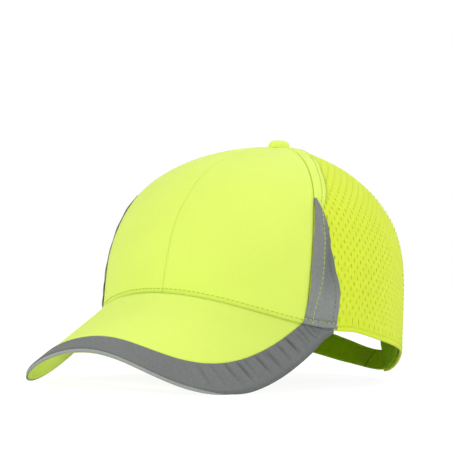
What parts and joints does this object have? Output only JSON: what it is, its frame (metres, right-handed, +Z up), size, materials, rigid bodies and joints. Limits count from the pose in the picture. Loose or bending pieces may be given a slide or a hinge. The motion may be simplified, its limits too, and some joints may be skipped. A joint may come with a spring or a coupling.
{
  "type": "bump cap",
  "caption": "Cap with a curved brim, mesh sides and rear, reflective trim, a vented hard shell with foam pads inside, and a rear strap that peels open.",
  "frame": {"origin": "centre of the head opening, on the plane the cap stands on", "axes": "+Z up, -Y the way the brim points, +X toward the wearer's left"},
  "size_m": [0.1828, 0.2674, 0.1506],
  "materials": {
    "front_twill": "fluorescent yellow-green polyester twill with a brushed face",
    "air_mesh": "fluorescent yellow-green polyester warp-knit mesh with staggered slit holes",
    "seam_tape": "woven seam tape in the crown's colour",
    "reflective_cloth": "grey glass-bead reflective cloth",
    "reflective_edge": "folded edge of the grey reflective cloth",
    "washer_metal": "nickel-plated pressed steel",
    "shell_plastic": "pale yellow-green moulded ABS with a fine grain",
    "pad_foam": "dark grey EVA foam",
    "sweatband_cloth": "padded polyester sweatband in the crown's colour",
    "brim_plastic": "white polyethylene stiffening board",
    "strap_webbing": "yellow-green polyester strap",
    "loop_pile": "soft loop pile",
    "hook_plastic": "moulded nylon hooks"
  },
  "bodies": {
    "cap": {"front_panel_left": "front_twill", "front_panel_right": "front_twill", "side_panel_left": "air_mesh", "side_panel_right": "air_mesh", "rear_panel_left": "air_mesh", "rear_panel_right": "air_mesh", "front_seam_tape": "seam_tape", "rear_seam_tape": "seam_tape", "front_side_tape_left": "seam_tape", "front_side_tape_right": "seam_tape", "rear_side_tape_left": "seam_tape", "rear_side_tape_right": "seam_tape", "rear_arch_tape": "seam_tape", "side_stripe_left": "reflective_cloth", "side_stripe_right": "reflective_cloth", "crown_button": "front_twill", "button_washer": "washer_metal", "bump_shell": "shell_plastic", "front_pad": "pad_foam", "crown_pad": "pad_foam", "side_pad_left": "pad_foam", "side_pad_right": "pad_foam", "rear_pad": "pad_foam", "sweatband": "sweatband_cloth", "brim_board": "brim_plastic", "brim_top_cover": "front_twill", "brim_under_cover": "front_twill", "brim_reflective_band": "reflective_cloth", "brim_edge_binding": "reflective_edge", "closure_tab": "strap_webbing", "closure_loop_patch": "loop_pile", "closure_strap_root": "strap_webbing"},
    "strap": {"closure_strap": "strap_webbing", "closure_hook_patch": "hook_plastic", "closure_reflective_tape": "reflective_cloth"}
  },
  "joints": [
    {"name": "strap_peel", "type": "hinge", "parent": "cap", "child": "strap", "pos_m": [-0.0466, 0.0868, 0.028], "axis": [0, 0, 1], "range_deg": [0, 115]}
  ]
}
